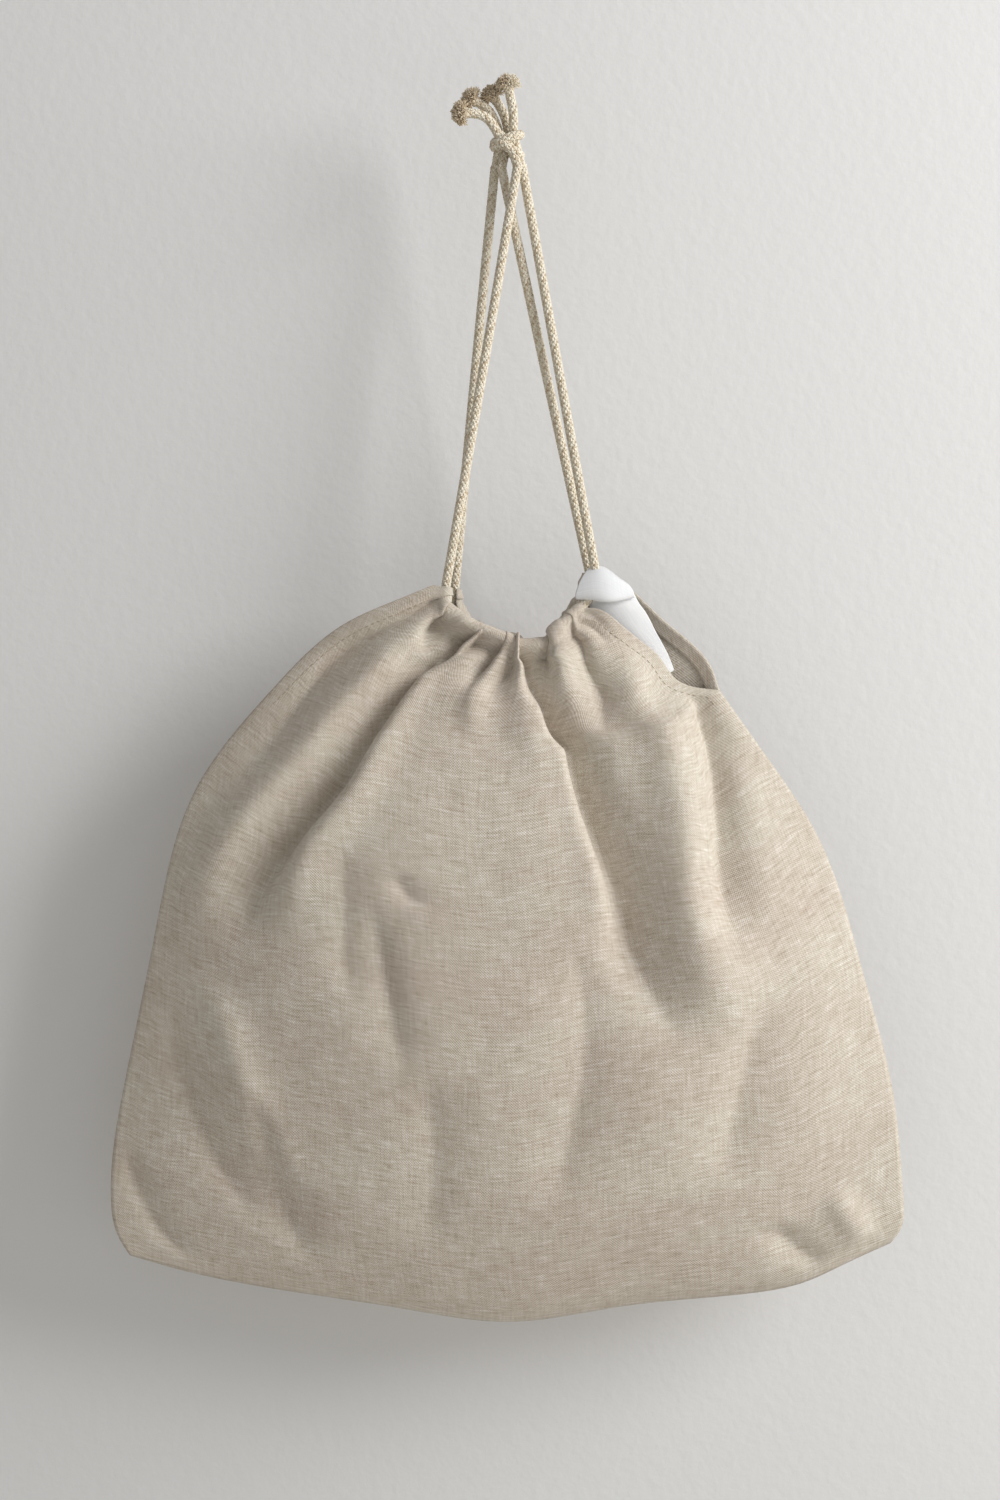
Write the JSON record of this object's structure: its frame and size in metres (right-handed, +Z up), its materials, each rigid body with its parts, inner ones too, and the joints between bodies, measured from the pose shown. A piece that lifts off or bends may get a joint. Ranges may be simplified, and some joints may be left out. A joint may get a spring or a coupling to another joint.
{
  "type": "linen drawstring bag",
  "caption": "Linen drawstring bag with a gathered mouth and side slits, hanging by two braided drawcords tied in one knot.",
  "frame": {"origin": "hang point: where the drawcords straddle the hook, just under their knot", "axes": "+Z up, +X to the right of somebody who faces the bag, -Y towards them"},
  "size_m": [0.3983, 0.0796, 0.6186],
  "materials": {
    "linen": "woven",
    "casing_cotton": "woven",
    "braided_cord": "braided"
  },
  "bodies": {
    "knot": {"cord_knot": "braided_cord", "front_left_tail": "braided_cord", "back_left_tail": "braided_cord", "back_right_tail": "braided_cord", "front_right_tail": "braided_cord"},
    "cords": {"front_cord_left_strand": "braided_cord", "front_cord_right_strand": "braided_cord", "back_cord_left_strand": "braided_cord", "back_cord_right_strand": "braided_cord"},
    "bag": {"front_panel": "linen", "back_panel": "linen", "left_side_seam": "linen", "right_side_seam": "linen", "bottom_seam": "linen", "front_left_slit_hem": "linen", "front_right_slit_hem": "linen", "back_left_slit_hem": "linen", "back_right_slit_hem": "linen", "casing_strip_end": "casing_cotton"},
    "front_mouth": {"front_gathered_rim": "linen", "front_casing_strip": "casing_cotton", "front_tunnel_cord": "braided_cord"},
    "back_mouth": {"back_gathered_rim": "linen", "back_casing_strip": "casing_cotton", "back_tunnel_cord": "braided_cord"}
  },
  "joints": [
    {"name": "hang_swing", "type": "hinge", "parent": "knot", "child": "cords", "pos_m": [0, 0, 0.01], "axis": [0, 1, 0], "range_deg": [-20, 20]},
    {"name": "drawcord_slide", "type": "slide", "parent": "cords", "child": "bag", "axis": [0, 0, 1], "range_m": [0, 0.03], "deforming": ["front_cord_left_strand", "front_cord_right_strand", "back_cord_left_strand", "back_cord_right_strand"]},
    {"name": "front_mouth_opening", "type": "hinge", "parent": "bag", "child": "front_mouth", "pos_m": [-0.0305, -0.0065, -0.2115], "axis": [-0.9943, 0, -0.1068], "range_deg": [0, 45]},
    {"name": "back_mouth_opening", "type": "hinge", "parent": "bag", "child": "back_mouth", "pos_m": [-0.0262, 0.0065, -0.2115], "axis": [0.9931, 0, 0.1174], "range_deg": [0, 45]}
  ],
  "couplings": [
    {"joint": "front_mouth_opening", "follows": "drawcord_slide", "rad_per_m": 26.175},
    {"joint": "back_mouth_opening", "follows": "drawcord_slide", "rad_per_m": 26.175}
  ]
}
